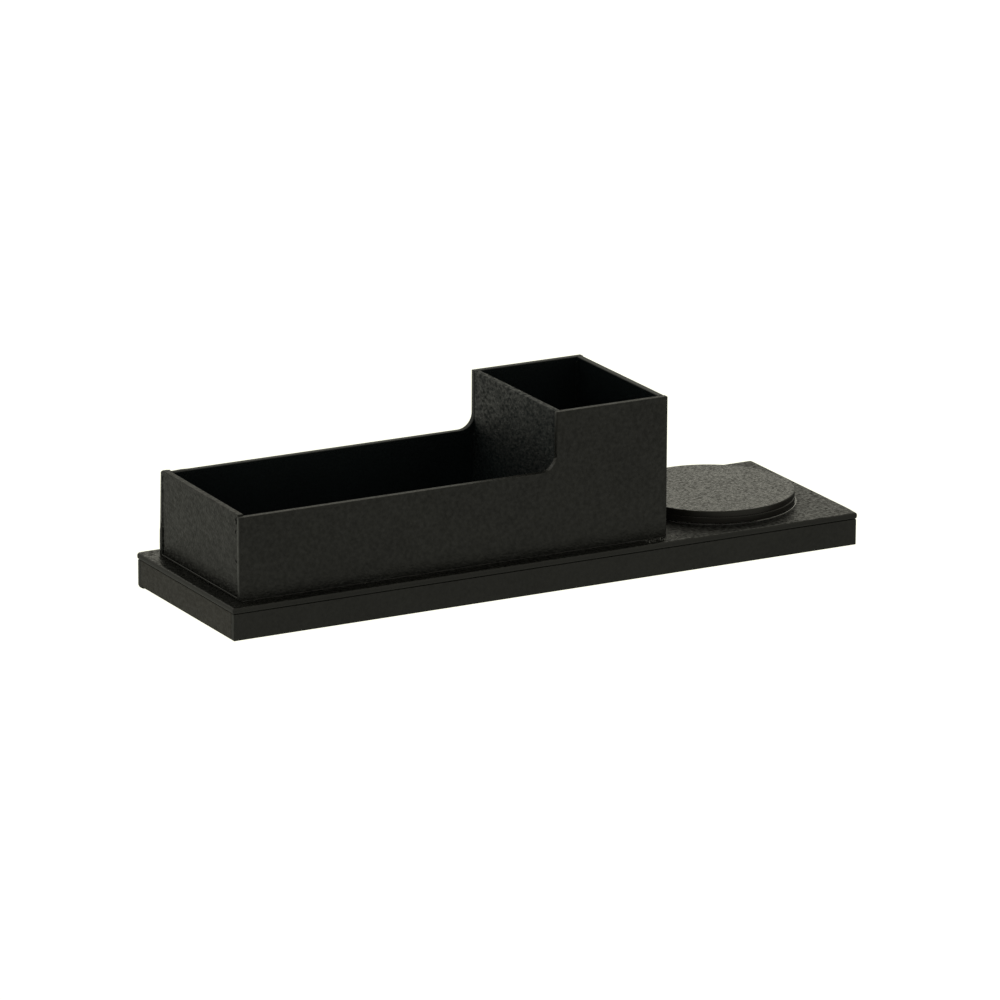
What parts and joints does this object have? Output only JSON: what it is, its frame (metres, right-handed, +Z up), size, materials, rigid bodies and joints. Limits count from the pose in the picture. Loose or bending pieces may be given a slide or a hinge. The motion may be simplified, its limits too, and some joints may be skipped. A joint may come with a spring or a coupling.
{
  "type": "salon styling station",
  "caption": "Free-standing counter-top tool holder in black powder-coated sheet: a long low trough, a tall square cup and a round turning plate on a low plinth.",
  "frame": {"origin": "under the middle of the footprint, on the plane that the rubber feet stand on", "axes": "+X along the length, from the trough to the turning disc; +Y to the back; +Z up"},
  "size_m": [0.33, 0.1, 0.0847],
  "materials": {
    "black_coat": "fine-textured black powder coat on welded 3 mm sheet steel",
    "black_coat_disc": "coarser-textured black powder coat, more open to the light",
    "zinc_steel": "zinc-plated steel, satin",
    "black_steel": "black oxide steel, satin",
    "bronze": "sintered bronze, satin",
    "slip_nylon": "dark grey nylon, smooth",
    "rubber": "matt black rubber"
  },
  "bodies": {
    "base": {"front_rail": "black_coat", "rear_rail": "black_coat", "left_rail": "black_coat", "right_rail": "black_coat", "corner_gussets": "black_coat", "deck_plate": "black_coat", "deck_studs": "zinc_steel", "standoffs": "zinc_steel", "bottom_cover": "black_coat", "cover_screws": "black_steel", "rubber_feet": "rubber", "bin_front_wall": "black_coat", "bin_rear_wall": "black_coat", "bin_end_wall": "black_coat", "bin_partition": "black_coat", "cup_side_wall": "black_coat", "bin_floor": "black_coat", "bin_screws": "black_steel", "bin_washers": "black_steel", "bin_nuts": "zinc_steel", "slip_ring": "slip_nylon", "pivot_bush": "bronze"},
    "turntable": {"turn_disc": "black_coat_disc", "hub_disc": "black_coat_disc", "pivot_stud": "zinc_steel", "thrust_washer": "bronze", "spring_washer": "zinc_steel", "lock_nut": "zinc_steel"}
  },
  "joints": [
    {"name": "disc_swivel", "type": "hinge", "parent": "base", "child": "turntable", "pos_m": [0.11365, 0, 0.0167], "axis": [0, 0, 1], "continuous": true}
  ]
}
